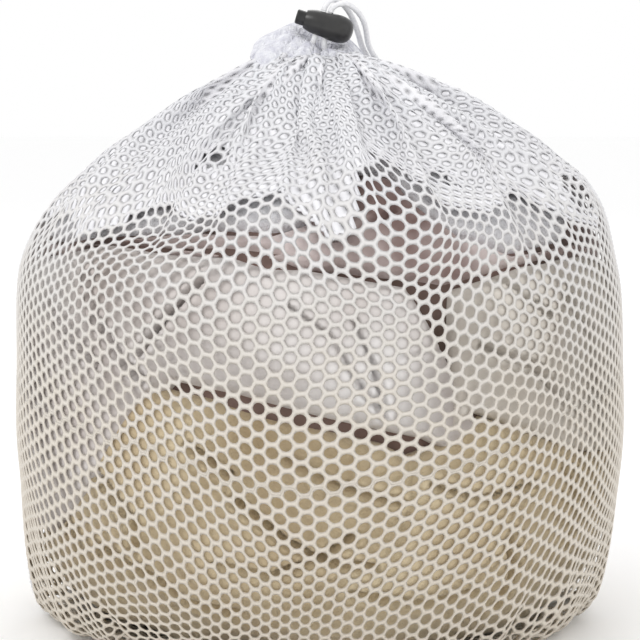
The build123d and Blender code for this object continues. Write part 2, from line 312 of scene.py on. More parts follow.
def start_shape(rng):
    side = smooth_line(np.vstack([(0, 0.0008), OUTLINE + (0, 0.0008)]), 0.0005)
    along = np.arange(len(side)) * 0.0005
    theta = np.arange(COLUMNS) / COLUMNS * 2 * pi
    v = np.arange(ROWS)[:, None] / (ROWS - 1)
    lead = FOOT * np.sin(theta) ** 2
    s = lead + v * (along[-1] - lead)
    r = np.interp(s, along, side[:, 0])
    z = np.interp(s, along, side[:, 1])
    # pleats round the neck hold the cloth's own width
    width = WIDTH * 2 / PLEATS
    edges = np.r_[0, np.cumsum(rng.uniform(0.55, 1.45, PLEATS))]
    phase = np.interp(theta, edges / edges[-1] * 2 * pi, np.arange(PLEATS + 1) * 2 * pi)
    lam = 2 * pi * np.maximum(r, 0.012) / PLEATS
    depth = 0.5 * np.sqrt(np.maximum((width / 2) ** 2 - (lam / 2) ** 2, 0)) * np.clip((z - 0.15) / 0.03, 0, 1)
    lean = rng.uniform(-1, 1, PLEATS)[(phase / (2 * pi)).astype(int) % PLEATS]
    swing = phase + 0.8 * np.sin(theta * 3 + z * 30)
    out = -depth * (1 - np.cos(swing)) * 0.8
    around = theta + 0.35 * depth * np.sin(swing) * lean / np.maximum(r, 0.02)
    r = np.maximum(r + out * 0.75, 0.004)
    pos = np.stack([r * np.sin(around), -r * np.cos(around), z + out * 0.65], axis=-1)
    flat = np.clip(1 - s / 0.076, 0, 1)
    pos[..., 1] *= 1 - flat ** 2
    return pos + rng.normal(0, 0.0002, pos.shape), (along[-1] - lead) * 1.012 / (ROWS - 1)


def pull(a, b, wa, wb, length, stiff, short_only=False):
    """Moves that bring b to its length from a."""
    d = b - a
    n = np.sqrt((d * d).sum(-1, keepdims=True)) + 1e-9
    c = n - length
    if short_only:
        c = np.minimum(c, 0)
    m = stiff * c / n / np.maximum(wa + wb, 1e-9) * d
    return m * wa, -m * wb


def relax(pos, up, steps, load, bulge):
    """The cloth keeps its threads' lengths, resists folding and rests on the load."""
    h = 2 * WIDTH / COLUMNS
    up = np.broadcast_to(up[None, :, None], (ROWS, COLUMNS, 1))
    held = (np.hypot(pos[..., 0], pos[..., 1]) < 0.070) & (pos[..., 2] < 0.01)
    held[-1] = True
    weight = (~held).astype(float)[..., None]
    diagonal = (h ** 2 + up[1:] ** 2) ** 0.5
    last = pos.copy()
    for _ in range(steps):
        speed = (pos - last) * 0.90
        last = pos.copy()
        pos = pos + speed * weight
        pos[..., 2] -= 0.00004 * weight[..., 0]
        for _ in range(3):
            for first in (0, 1):
                turned = np.roll(pos, -first, 1)
                w = np.roll(weight, -first, 1)
                da, db = pull(turned[:, 0::2], turned[:, 1::2], w[:, 0::2], w[:, 1::2], h, 1.0)
                turned[:, 0::2] += da
                turned[:, 1::2] += db
                pos = np.roll(turned, first, 1)
            for first in (0, 1):
                n = (ROWS - first) // 2
                ia = slice(first, first + 2 * n - 1, 2)
                ib = slice(first + 1, first + 2 * n, 2)
                da, db = pull(pos[ia], pos[ib], weight[ia], weight[ib], up[ia], 1.0)
                pos[ia] += da
                pos[ib] += db
            move = np.zeros_like(pos)
            for side in (1, -1):
                da, db = pull(pos[:-1], np.roll(pos, -side, 1)[1:], weight[:-1],
                              np.roll(weight, -side, 1)[1:], diagonal, 0.04)
                move[:-1] += da
                move[1:] += np.roll(db, side, 1)
            for gap, share in ((2, 0.62), (3, 0.5)):
                da, db = pull(pos, np.roll(pos, -gap, 1), weight, np.roll(weight, -gap, 1),
                              gap * h * share, 0.10, True)
                move += da + np.roll(db, gap, 1)
                da, db = pull(pos[:-gap], pos[gap:], weight[:-gap], weight[gap:],
                              gap * up[gap:] * 0.95, 0.20, True)
                move[:-gap] += da
                move[gap:] += db
            pos = pos + move
            r = np.hypot(pos[..., 0], pos[..., 1])
            gap, out, rise = load.look(r, pos[..., 2])
            push = np.maximum(0.0013 - gap + bulge(pos), 0) * weight[..., 0] * (pos[..., 2] > 0.0025)
            n = np.stack([out * pos[..., 0] / (r + 1e-9), out * pos[..., 1] / (r + 1e-9), rise], -1)
            pos = pos + push[..., None] * n
            slip = pos - last
            slip -= (slip * n).sum(-1, keepdims=True) * n
            pos = pos - 0.25 * slip * (push > 0)[..., None]
            pos[..., 2] = np.maximum(pos[..., 2], 0.0008)
    return pos


def cord_side(pos):
    """1 where the tails lie down the back of the bag, 0 away from them."""
    x, y = pos[..., 0], pos[..., 1]
    return ease(y, -0.002, 0.02) * ease(x, -0.03, -0.005) * (1 - ease(x, 0.075, 0.10))


def bulge(pos):
    """The load swells at the right shoulder and a little at the left one."""
    x, y, z = pos[..., 0], pos[..., 1], pos[..., 2]
    r = np.hypot(x, y) + 1e-9
    right = 0.0075 * np.clip(x / r, 0, 1) ** 2 * ease(z, 0.155, 0.190) * (1 - ease(z, 0.200, 0.234))
    left = 0.0015 * np.clip(-x / r, 0, 1) ** 2 * np.exp(-((z - 0.165) / 0.03) ** 2)
    return (right + left) * (1 - cord_side(pos))


rng = np.random.default_rng(SEED)
load_field = Field(SUPPORT)
bag_field = Field(OUTLINE)
cloth, up = start_shape(rng)
cloth = relax(cloth, up, 150, load_field, bulge)
reach = np.hypot(cloth[..., 0], cloth[..., 1])
gap, out, rise = bag_field.look(reach, cloth[..., 2])
tuck = np.maximum(gap + 0.0006, 0) * cord_side(cloth)
cloth -= tuck[..., None] * np.stack([out * cloth[..., 0] / (reach + 1e-9),
                                     out * cloth[..., 1] / (reach + 1e-9), rise], -1)


def cloth_at(u, v):
    """Cubic B-spline through the cloth: u metres round it from front centre, v up it."""
    c = (u / (2 * WIDTH) * COLUMNS) % COLUMNS
    r = np.clip(v / HEIGHT, 0, 1) * (ROWS - 1)
    c0, r0 = np.floor(c).astype(int), np.minimum(np.floor(r).astype(int), ROWS - 2)
    fc, fr = c - c0, r - r0

    def basis(t):
        return ((1 - t) ** 3 / 6, (3 * t ** 3 - 6 * t ** 2 + 4) / 6,
                (-3 * t ** 3 + 3 * t ** 2 + 3 * t + 1) / 6, t ** 3 / 6)
    total = np.zeros((*u.shape, 3))
    for i, wr in enumerate(basis(fr)):
        row = np.clip(r0 + i - 1, 0, ROWS - 1)
        for j, wc in enumerate(basis(fc)):
            total += (wr * wc)[..., None] * cloth[row, (c0 + j - 1) % COLUMNS]
    return total


def cloth_normal(u, v, step=0.0012):
    across = cloth_at(u + step, v) - cloth_at(u - step, v)
    along = cloth_at(u, np.minimum(v + step, HEIGHT)) - cloth_at(u, np.maximum(v - step, 0))
    n = np.cross(across, along)
    return n / (np.linalg.norm(n, axis=-1, keepdims=True) + 1e-12)


def drift(u, v):
    """How the net's lattice is dragged and sheared over the load."""
    keep = 1 - np.abs(u / (WIDTH / 2)) ** 6
    keep = np.clip(keep, 0, 1) * np.clip(v / 0.05, 0, 1) * np.clip((HEIGHT - v) / 0.03, 0, 1)
    du = 0.38 * (v - 0.155) * np.exp(-((u - 0.085) / 0.06) ** 2 - ((v - 0.155) / 0.06) ** 2)
    du += -0.20 * (v - 0.20) * np.exp(-((u + 0.09) / 0.07) ** 2 - ((v - 0.20) / 0.07) ** 2)
    dv = 0.26 * (u + 0.11) * np.exp(-((u + 0.11) / 0.05) ** 2 - ((v - 0.16) / 0.09) ** 2)
    dv += -0.30 * (v - 0.11) * np.exp(-((u + 0.06) / 0.06) ** 2 - ((v - 0.11) / 0.045) ** 2)
    neck = ease(v, 0.25, 0.31) * (1 - ease(v, 0.37, 0.41))
    du += neck * 0.0065 * np.sin(46 * u + 60 * v)
    dv += neck * 0.0075 * np.sin(52 * u - 38 * v + 1.3)
    du += 0.0022 * np.sin(38 * u + 21 * v + 1) + 0.0011 * np.sin(70 * v - 44 * u + 2)
    dv += 0.0020 * np.sin(33 * v - 25 * u + 4) + 0.0010 * np.sin(80 * u + 30 * v)
    return u + du * keep, v + dv * keep


def gathers(u, v):
    """From 0 to 1 where the net is gathered over the shoulder, but for a few taut places."""
    at = cloth_at(u, v)
    round_to = np.degrees(np.arctan2(at[:, 0], -at[:, 1]))
    z = at[:, 2]
    dense = ease(z + 0.006 * np.sin(u * 40 + 1) + 0.004 * np.sin(u * 95), 0.172, 0.196)
    for turned, height, wide, tall in ((15, 0.188, 11, 0.020), (72, 0.190, 9, 0.010), (-28, 0.2095, 5, 0.004),
                                       (34, 0.2000, 5, 0.005)):
        dense *= 1 - np.exp(-(((round_to - turned) / wide) ** 2 + ((z - height) / tall) ** 2) ** 2)
    return np.clip(dense, 0, 1), np.abs(round_to)


def hole_size(u, v):
    dense, to_side = gathers(u, v)
    dense = np.maximum(dense, 0.85 * ease(to_side, 35, 70))
    return HOLE + (HOLE_GATHERED - HOLE) * dense


def net_panel(name, centre, v0, v1, depth=0.0, slide=(0.0, 0.0), gathered_hole=None):
    """Knitted net: a hexagon of strand round every hole, its ridge raised both sides."""
    wide, tall = LATTICE
    count = int(WIDTH / wide / 2)
    cells = []
    for i in range(-count, count + 1):
        for j in range(int(HEIGHT / tall) + 1):
            u, v = i * wide, (j + 0.5 * (i % 2) + 0.4) * tall
            if abs(u) < WIDTH / 2 - wide * 0.6 and v0 <= v < v1:
                cells.append((u, v))
    cells = np.array(cells)
    if gathered_hole:
        cells = cells[gathers(cells[:, 0] + centre, cells[:, 1])[0] > 0.45]
    turn = np.arange(12) * pi / 6
    corner = np.array([(wide * 2 / 3, 0), (wide / 3, tall / 2), (-wide / 3, tall / 2),
                       (-wide * 2 / 3, 0), (-wide / 3, -tall / 2), (wide / 3, -tall / 2)])
    ring = np.empty((12, 2))
    ring[0::2] = corner
    ring[1::2] = (corner + np.roll(corner, -1, 0)) / 2
    rim = np.column_stack([np.cos(turn), np.sin(turn)]) / 2
    ridge = cells[:, None] + ring
    keys = np.round(ridge.reshape(-1, 2) * 2e5).astype(np.int64)
    _, first, shared = np.unique(keys, axis=0, return_index=True, return_inverse=True)
    ridge_uv = ridge.reshape(-1, 2)[first]
    shared = shared.reshape(len(cells), 12)
    hole = gathered_hole or hole_size(cells[:, 0] + centre, cells[:, 1])[:, None, None]
    rim_uv = (cells[:, None] + rim * hole).reshape(-1, 2)

    def lift(uv, height):
        u, v = drift(uv[:, 0] + slide[0], uv[:, 1] + slide[1])
        at = cloth_at(u + centre, v)
        return at + cloth_normal(u + centre, v) * (height - depth)

    n = len(ridge_uv)
    ridge = STRAND / 2 * (1 - 0.68 * gathers(ridge_uv[:, 0] + centre, ridge_uv[:, 1])[0])[:, None]
    points = np.vstack([lift(ridge_uv, ridge), lift(ridge_uv, -ridge), lift(rim_uv, 0)])
    points[:, 2] = np.maximum(points[:, 2], 0.0001)
    inner = 2 * n + np.arange(len(cells) * 12).reshape(-1, 12)
    inner_next, shared_next = np.roll(inner, -1, 1), np.roll(shared, -1, 1)
    top = np.stack([shared, shared_next, inner_next, inner], -1).reshape(-1, 4)
    under = np.stack([inner, inner_next, shared_next + n, shared + n], -1).reshape(-1, 4)
    edges = np.stack([shared, shared_next], -1).reshape(-1, 2)
    pair = np.sort(edges, 1)
    _, index, uses = np.unique(pair[:, 0].astype(np.int64) * n + pair[:, 1], return_index=True,
                               return_counts=True)
    rimless = edges[index[uses == 1]]
    close = np.column_stack([rimless[:, 1], rimless[:, 0], rimless[:, 0] + n, rimless[:, 1] + n])
    piece = add_mesh(name, points, np.vstack([top, under, close]), net_gathers_painted_light if gathered_hole else white_net)
    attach(piece, "bag")
    return piece


half = HEIGHT * 0.47
nets = []
for side, centre in (("front", 0), ("back", WIDTH)):
    lower = net_panel(f"net_{side}_lower", centre, 0, half)
    upper = net_panel(f"net_{side}_upper", centre, half, HEIGHT * 0.992)
    folded = (centre, HEIGHT * 0.58, HEIGHT * 0.985)
    under = net_panel(f"net_{side}_gathers", *folded, 0.0002, (0.0021, 0.0017), 0.0013)
    deep = net_panel(f"net_{side}_gathers_deep", *folded, 0.0005, (-0.0014, 0.0031), 0.0007)
    nets += [lower, upper, under, deep]
for piece in nets:
    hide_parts("net_front" if "front" in piece.name else "net_back")


# ---- laundry: each garment is a closed, folded band on the load -----------------------

side_line = smooth_line(LOAD, 0.0005)
side_along = np.arange(len(side_line)) * 0.0005
side_total = side_along[-1]


def up_side(z):
    """Distance along the load's profile from the centre of its base to height z."""
    return np.interp(z, side_line[5:, 1], side_along[5:])


def creases(px, py, seed, count, depth, width, spacing):
    """Long, broken fold lines wandering over the cloth."""
    r = np.random.default_rng(seed)
    total = np.zeros_like(px)
    for _ in range(count):
        a = r.uniform(0, pi)
        k = 2 * pi / (spacing * r.uniform(0.7, 1.5))
        bend = sum(r.uniform(0.3, 0.9) * np.sin(r.uniform(15, 60) * px + r.uniform(15, 60) * py + r.uniform(0, 7))
                   for _ in range(3))
        phase = k * (px * cos(a) + py * sin(a)) / 2 + bend
        gate = ease(np.sin(r.uniform(12, 30) * px + r.uniform(0, 7)) * np.sin(r.uniform(12, 30) * py + r.uniform(0, 7)),
                    0.0, 0.5)
        total -= depth * r.uniform(0.6, 1.0) * gate * np.exp(-(np.sin(phase) / (width * k / 2)) ** 2)
        total += 0.25 * depth * (1 - np.abs(np.sin(phase))) * (1 - gate)
    return total


def lines_in(theta, z, lines):
    """Grooves along drawn fold lines, each a list of (degrees round from front, height mm)."""
    total = np.zeros_like(theta)
    for depth, width, line in lines:
        line = np.array(line, float)
        at = np.stack([np.degrees(theta) * 2.26, z * 1000], -1)
        line = line * (2.26, 1)
        best = np.full(theta.shape, 1e9)
        for a, b in zip(line, line[1:]):
            ab = b - a
            t = np.clip(((at - a) @ ab) / (ab @ ab), 0, 1)
            best = np.minimum(best, np.linalg.norm(at - a - t[..., None] * ab, axis=-1))
        total -= depth * np.exp(-(best / width) ** 2)
        total += 0.35 * depth * np.exp(-((best - 2.6 * width) / (1.6 * width)) ** 2)
    return total / 1000


def garment(name, replaced, look, round_from, round_to, low, high, seed, thick=0.016, sunk=0.0,
            ring=False, folds=(4, 0.0016, 0.0012, 0.090), ribs=0.0, rough=0.0, lines=(), step=0.0016,
            edge=0.007, slant=(0, 0), open_end=(False, False)):
    """A band from low to high, both lists of (degrees, height mm, "under" for the centre of the base or "top" for the
    top of the load).
    """
    n_round = int(np.radians(round_to - round_from) * 0.125 / step)
    a = np.linspace(0, 1, n_round + (0 if ring else 1), endpoint=not ring)
    degrees = round_from + (round_to - round_from) * a

    def bound(points):
        d, z = zip(*points)
        s = [0.0 if q == "under" else side_total if q == "top" else up_side(q / 1000) for q in z]
        return np.interp(degrees, d, s)
    s0, s1 = bound(low), bound(high)
    n_up = int(np.max(s1 - s0) / step)
    b = np.linspace(0, 1, n_up + 1)[:, None]
    s = s0 + (s1 - s0) * b
    theta = np.radians(degrees + slant[0] * (b - 0.5) + slant[1] * (b - 0.5) * (1 - 2 * a))
    r = np.interp(s, side_along, side_line[:, 0])
    z = np.interp(s, side_along, side_line[:, 1])
    e = 0.0015
    nr = np.interp(s + e, side_along, side_line[:, 1]) - np.interp(s - e, side_along, side_line[:, 1])
    nz = -(np.interp(s + e, side_along, side_line[:, 0]) - np.interp(s - e, side_along, side_line[:, 0]))
    size = np.hypot(nr, nz) + 1e-9
    nr, nz = nr / size, nz / size
    flat = np.stack([theta * 0.125 * np.clip(r / 0.1, 0.2, 1), s], -1)
    depth = creases(flat[..., 0], flat[..., 1], seed, *folds) + lines_in(theta, z, lines)
    noise = np.random.default_rng(seed + 100)
    for _ in range(8):
        depth += 0.0008 * np.sin(noise.uniform(-90, 90) * flat[..., 0] + noise.uniform(-90, 90) * flat[..., 1]
                                 + noise.uniform(0, 7))
    if ribs:
        sway = 0.004 * np.sin(40 * s) + 0.003 * np.sin(23 * theta)
        depth += ribs * np.abs(np.sin((flat[..., 0] * 0.8 + s * 0.6 + sway) * pi / 0.0062))
    if rough:
        depth += np.random.default_rng(seed).normal(0, rough, depth.shape)
    # rolled edges, so dark gaps stay between garments
    wander = 0.3 * np.sin(37 * flat[..., 0] + seed) + 0.2 * np.sin(91 * flat[..., 0] + 2 * seed)
    inset = np.full_like(s, 1e9)
    if not open_end[0]:
        inset = np.minimum(inset, (s - s0) / edge)
    if not open_end[1]:
        inset = np.minimum(inset, (s1 - s) / (edge * (1 + wander)))
    if not ring:
        reach = np.minimum(a, 1 - a) * np.radians(round_to - round_from) * 0.125
        inset = np.minimum(inset, reach / edge * np.ones_like(s))
    inset = np.clip(inset, 0, 1)
    roll = (1 - np.sqrt(np.clip(1 - (1 - inset) ** 2, 0, 1)))
    outer = np.minimum(depth, 0.0012) - sunk - roll * (thick * 0.45)
    outer += bulge(np.stack([r * np.sin(theta), -r * np.cos(theta), z], -1)) * 0.9
    inner = -sunk - thick + roll * thick * 0.25

    def place(off):
        rr = np.maximum(r + nr * off, 0.0004)
        zz = np.maximum(z + nz * off, 0.0012)
        return np.stack([rr * np.sin(theta), -rr * np.cos(theta), zz], -1)
    rows, cols = s.shape
    few = np.unique(np.linspace(0, rows - 1, 9).astype(int))
    outside, inside = place(outer), place(inner)[few]
    index = np.arange(rows * cols).reshape(rows, cols)
    back = rows * cols + np.arange(len(few) * cols).reshape(len(few), cols)
    right = np.roll(index, -1, 1) if ring else index[:, 1:]
    left = index if ring else index[:, :-1]
    back_right = np.roll(back, -1, 1) if ring else back[:, 1:]
    back_left = back if ring else back[:, :-1]
    faces = [np.vstack([
        np.stack([left[:-1], right[:-1], right[1:], left[1:]], -1).reshape(-1, 4),
        np.stack([back_left[1:], back_right[1:], back_right[:-1], back_left[:-1]], -1).reshape(-1, 4),
        np.stack([back_left[0], back_right[0], right[0], left[0]], -1),
        np.stack([left[-1], right[-1], back_right[-1], back_left[-1]], -1)])]
    if not ring:
        faces += [np.r_[index[:, 0], back[::-1, 0]][None], np.r_[index[::-1, -1], back[:, -1]][None]]
    piece = add_mesh(name, np.vstack([outside.reshape(-1, 3), inside.reshape(-1, 3)]), faces, look)
    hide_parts(replaced)
    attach(piece, "bag")
    return piece


# Edges between garments: (degrees round from the front, height mm)
CREAM_EDGE = [(-180, 78), (-165, 92), (-150, 118), (-138, 124), (-124, 96), (-108, 62), (-88, 40),
              (-70, 42), (-56, 58), (-46, 80), (-38, 104), (-32.5, 118), (-20.5, 114),
              (-8.5, 107.5), (1.5, 102.5), (11.5, 97), (16, 91.5), (22.5, 96.5), (31, 106),
              (40.5, 98), (60, 84), (88, 74), (112, 80), (130, 104), (146, 112), (162, 92),
              (180, 78)]
TOP_OF_WHITES = [(-205, 152), (-180, 158), (-160, 172), (-142, 176), (-126, 160), (-108, 150),
                 (-85, 162), (-54.5, 169.5), (-40, 173.5), (-26, 172),
                 (-11.5, 172.5), (-3.5, 168), (3.5, 168), (11, 165), (24, 160)]
TOP_OF_PINK = [(-180, 168), (-160, 178), (-142, 181), (-126, 182), (-110, 166), (-85, 169),
               (-65.5, 173), (-41.5, 178), (-25, 182), (-10, 182), (-3, 186), (4, 196), (12, 204),
               (20, 203), (24, 188), (30, 178), (41.5, 171), (60, 172), (86, 170), (110, 180),
               (130, 184), (150, 176), (180, 168)]


def shifted(line, by, cut=(-999, 999)):
    return [(d, z + by) for d, z in line if cut[0] <= d <= cut[1]]


knit_jumper = garment(
    "cream_jumper", "knit_jumper", cream_knit, -180, 180, [(-180, "under"), (180, "under")],
    shifted(CREAM_EDGE, -0.8), seed=3, ring=True, ribs=0.0006, open_end=(True, False), lines=[
        (6, 1.4, [(-24, 96), (-16, 84)]), (7, 1.5, [(-15, 74), (-6, 58), (1, 50), (10, 47)]),
        (6, 1.5, [(-19, 48), (-9, 44), (0, 52), (6, 60)]), (6, 1.7, [(-46, 48), (-38, 42), (-26, 28), (-16, 27)]),
        (8, 2.0, [(37, 54), (40, 40), (39, 24)]), (6, 1.6, [(-50, 88), (-42, 76), (-36, 62), (-37, 48)]),
        (5, 1.3, [(20, 80), (30, 73), (42, 76)]), (6, 1.5, [(50, 80), (56, 64), (55, 46)]),
        (5, 1.3, [(-6, 92), (4, 80), (14, 74)]), (6, 1.4, [(6, 36), (20, 30), (32, 33)]),
        (5, 1.4, [(-62, 66), (-54, 54), (-50, 38)]), (6, 1.5, [(62, 70), (70, 52), (72, 36)])])

white_shirt = garment(
    "white_shirt_folds", "white_shirt", white_cotton, -205, 24,
    [(-205, 102)] + shifted(CREAM_EDGE, 0.8, (-180, 23)) + [(24, 98)],
    shifted(TOP_OF_WHITES, -0.8), seed=8, slant=(-4, 12), lines=[
        (7, 1.3, [(-48, 158), (-44, 142), (-37, 126), (-33, 120)]), (6, 1.2, [(-22, 160), (-28, 146), (-34, 130)]),
        (6, 1.2, [(6, 146), (9, 130), (11, 112)]), (5, 1.3, [(-62, 148), (-52, 134), (-44, 124)]),
        (5, 1.2, [(-6, 152), (2, 140), (6, 124), (11, 108)]), (5, 1.3, [(-76, 140), (-68, 118), (-60, 100)])])

cream_vest = garment(
    "off_white_vest", "cream_vest", cream_cotton, 24.5, 152,
    [(24.5, 99), (31, 106.8), (40.5, 98.8), (60, 84.8), (88, 74.8), (112, 80.8), (130, 104.8), (146, 112.8),
     (152, 107)],
    [(24.5, 158), (40.5, 165), (52.5, 166), (90, 157), (106, 170), (126, 174), (140, 160), (152, 151)],
    seed=12, slant=(16, -14), lines=[
        (7, 1.4, [(32, 166), (40, 152), (46, 144)]), (6, 1.3, [(52, 150), (62, 132), (60, 112)]),
        (5, 1.3, [(30, 134), (42, 124), (50, 108)]), (6, 1.4, [(70, 150), (80, 146), (92, 148)])])

pink_blouse = garment(
    "pink_blouse_folds", "pink_blouse", dusty_pink, -180, 180,
    shifted(TOP_OF_WHITES, 0.6, (-180, 20)) + [(24.5, 160), (40.5, 166), (52.5, 167), (90, 158), (106, 171),
                                              (126, 175), (140, 161), (155, 152), (180, 158.6)],
    shifted(TOP_OF_PINK, -0.6), seed=21, ring=True, sunk=0.004, edge=0.005, lines=[
        (6, 1.4, [(-60, 170), (-30, 176), (-8, 174)]), (6, 1.4, [(2, 178), (10, 184), (18, 190)])])

white_towel = garment(
    "white_towel_folds", "white_towel", white_terry, -180, 180,
    shifted(TOP_OF_PINK, 0.6, (-180, 61)) + [(64, 176), (68, 200), (80, 201), (86, 176)]
    + shifted(TOP_OF_PINK, 0.6, (100, 180)),
    [(-180, "top"), (180, "top")], seed=30, ring=True, sunk=0.0028, thick=0.014, rough=0.0002,
    open_end=(False, True), lines=[(5, 1.4, [(-40, 190), (-20, 196), (0, 206)]), (5, 1.4, [(30, 196), (50, 190)])])

# A dark layer sunk under all the garments from 60 to 212 mm, seen only in the gaps between them: painted shade.
garment(
    "painted_shade_layer", "brown_scarf", mauve_brown, -180, 180,
    [(-180, 60), (180, 60)], [(-180, 212), (180, 212)], seed=40, ring=True, sunk=0.0085, thick=0.012,
    step=0.003, edge=0.006)


# ---- seams --------------------------------------------------------------------------

def overlock(name, replaced, u, v0, v1):
    """Overlocked seam: a narrow roll with looped stitches, standing on the cloth."""
    v = np.arange(v0, v1, 0.0009)
    line = cloth_at(np.full_like(v, u), v)
    for _ in range(3):
        line[1:-1] = (line[:-2] + 2 * line[1:-1] + line[2:]) / 4
    out = cloth_normal(np.full_like(v, u), v, 0.004)
    along = np.gradient(line, axis=0)
    along /= np.linalg.norm(along, axis=1, keepdims=True)
    across = np.cross(out, along)
    across /= np.linalg.norm(across, axis=1, keepdims=True)
    turn = np.arange(12) / 12 * 2 * pi
    stitch = np.arange(len(v))[:, None] * 0.0009 / 0.0024 * 2 * pi
    wide = 0.0017 * (1 + 0.10 * np.cos(stitch + turn))
    tall = 0.0010 * (1 + 0.22 * np.cos(stitch + turn * 2))
    points = (line[:, None] + across[:, None] * (wide * np.cos(turn))[..., None]
              + out[:, None] * (tall * np.sin(turn) + 0.0003)[..., None])
    points[..., 2] = np.maximum(points[..., 2], 0.0001)
    return tube_mesh(name, points, seam_tape, replaced, "bag")


def tube_mesh(name, rings, look, replaced, body):
    """Closed tube through rings of points."""
    n, sides = rings.shape[:2]
    index = np.arange(n * sides).reshape(n, sides)
    nxt = np.roll(index, -1, 1)
    quads = np.stack([index[:-1], nxt[:-1], nxt[1:], index[1:]], -1).reshape(-1, 4)
    ends = np.vstack([rings[0].mean(0), rings[-1].mean(0)])
    first, last = n * sides, n * sides + 1
    cap_a = np.stack([nxt[0], index[0], np.full(sides, first)], -1)
    cap_b = np.stack([index[-1], nxt[-1], np.full(sides, last)], -1)
    piece = add_mesh(name, np.vstack([rings.reshape(-1, 3), ends]), [quads, cap_a, cap_b], look)
    if replaced:
        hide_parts(replaced)
    if body:
        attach(piece, body)
    return piece


overlock("seam_left", "side_seam_left", -WIDTH / 2, 0.012, 0.398)
overlock("seam_right", "side_seam_right", WIDTH / 2, 0.012, 0.398)


# ---- gathered hem -------------------------------------------------------------------

def gathered_hem():
    sides = 640
    theta = np.arange(sides) / sides * 2 * pi
    r = np.random.default_rng(SEED + 2)
    edges = np.r_[0, np.cumsum(r.uniform(0.6, 1.5, 21))]
    fold = np.interp(theta, edges / edges[-1] * 2 * pi, np.arange(22) * 2 * pi)
    tall = np.interp(theta, edges / edges[-1] * 2 * pi, np.r_[r.uniform(-1, 1, 21), 0])
    crest = np.abs(np.sin(fold / 2))
    fine = np.interp(theta, np.linspace(0, 2 * pi, 90), r.uniform(-1, 1, 90))
    # (radius m, height from the top plane mm, pleat depth mm), from the skirt in to the middle
    profile = [(0.0300, -17.5, 0.3), (0.0290, -14.6, 0.6), (0.0262, -11.6, 0.9), (0.0228, -8.8, 1.1),
               (0.0196, -6.2, 1.1), (0.0170, -3.9, 1.1), (0.0147, -1.9, 1.0), (0.0128, -0.6, 0.9),
               (0.0112, -0.3, 0.8), (0.0097, -1.2, 0.7), (0.0084, -3.2, 0.6), (0.0068, -6.0, 0.6), (0.0052, -9.5, 0.5),
               (0.0040, -13, 0.3)]
    line = smooth_line(np.array([(a, b / 1000, c / 1000) for a, b, c in profile]), 0.0007)
    rows = []
    front = np.clip(np.cos(theta), 0, 1) ** 3
    notch = np.exp(-((np.angle(np.exp(1j * (theta - 0.05)))) / 0.16) ** 2)
    for k, (radius, below, depth) in enumerate(line):
        share = k / (len(line) - 1)
        lobes = (crest ** 0.6 - 0.62) * 2.6 * depth
        swirl = theta + 0.10 * np.sin(fold * 0.5 + share * 5) * (1 - share)
        rad = radius + lobes + 0.00035 * fine - 0.0030 * notch * ease(share, 0.15, 0.6) * (1 - share)
        x, y = rad * np.sin(swirl), -rad * np.cos(swirl)
        top = 0.2545 - 0.3 * x + 0.3 * y
        rise = (0.0014 * tall + 0.0006 * fine) * (1 - 0.9 * front) * (1 - abs(2 * share - 1))
        z = top + below + rise - 0.0012 * front + 0.0006 * (crest - 0.6)
        z -= 0.0035 * notch * (1 - abs(2 * share - 1))
        z = np.maximum(z, 0.2365)
        rows.append(np.stack([x, y, z], -1))
    rings = np.array(rows)
    n, cols = rings.shape[:2]
    index = np.arange(n * cols).reshape(n, cols)
    nxt = np.roll(index, -1, 1)
    quads = np.stack([index[:-1], nxt[:-1], nxt[1:], index[1:]], -1).reshape(-1, 4)
    close = np.stack([index[-1], nxt[-1], nxt[0], index[0]], -1)
    piece = add_mesh("gathered_hem", rings.reshape(-1, 3), np.vstack([quads, close]), hem_tape)
    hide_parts("hem_casing")
    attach(piece, "bag")
    return piece


gathered_hem()


# ---- drawstring ---------------------------------------------------------------------

def spline_line(name, points):
    """The cord's own line: a smooth curve over its route's points."""
    curve = bpy.data.curves.new(name, "CURVE")
    curve.dimensions = "3D"
    curve.resolution_u = 24
    spline = curve.splines.new("NURBS")
    spline.points.add(len(points) - 1)
    for p, q in zip(spline.points, points):
        p.co = (*(c / 1000 for c in q), 1)
    spline.order_u = 3
    spline.use_endpoint_u = True
    holder = bpy.data.objects.new(name, curve)
    mesh = bpy.data.meshes.new_from_object(holder)
    line = np.empty(len(mesh.vertices) * 3)
    mesh.vertices.foreach_get("co", line)
    line = line.reshape(-1, 3)
    bpy.data.meshes.remove(mesh)
    bpy.data.objects.remove(holder)
    bpy.data.curves.remove(curve)
    along = np.r_[0, np.cumsum(np.linalg.norm(np.diff(line, axis=0), axis=1))]
    at = np.linspace(0, along[-1], int(along[-1] / 0.0006))
    return np.column_stack([np.interp(at, along, line[:, i]) for i in range(3)]), along[-1]


def braid(name, line, diameter, replaced, body):
    """Round cord of crossing strands along a line."""
    along = np.gradient(line, axis=0)
    along /= np.linalg.norm(along, axis=1, keepdims=True)
    side = np.cross(along[0], (0.3, 0.8, 0.2))
    frames = []
    for t in along:
        side = side - t * (side @ t)
        side /= np.linalg.norm(side)
        frames.append((side, np.cross(t, side)))
    frames = np.array(frames)
    turn = np.arange(20) / 20 * 2 * pi
    s = np.arange(len(line))[:, None] * 0.0006
    lay = 2 * pi / 0.0060
    strands = np.cos(4 * turn + lay * s) * np.cos(4 * turn - lay * s)
    radius = diameter / 2 * (0.955 + 0.075 * np.abs(strands) ** 0.5 * np.sign(strands))
    rings = line[:, None] + radius[..., None] * (np.cos(turn)[None, :, None] * frames[:, 0][:, None]
                                                 + np.sin(turn)[None, :, None] * frames[:, 1][:, None])
    rings[..., 2] = np.maximum(rings[..., 2], 0.0001)
    return tube_mesh(name, rings, cord_white, replaced, body)


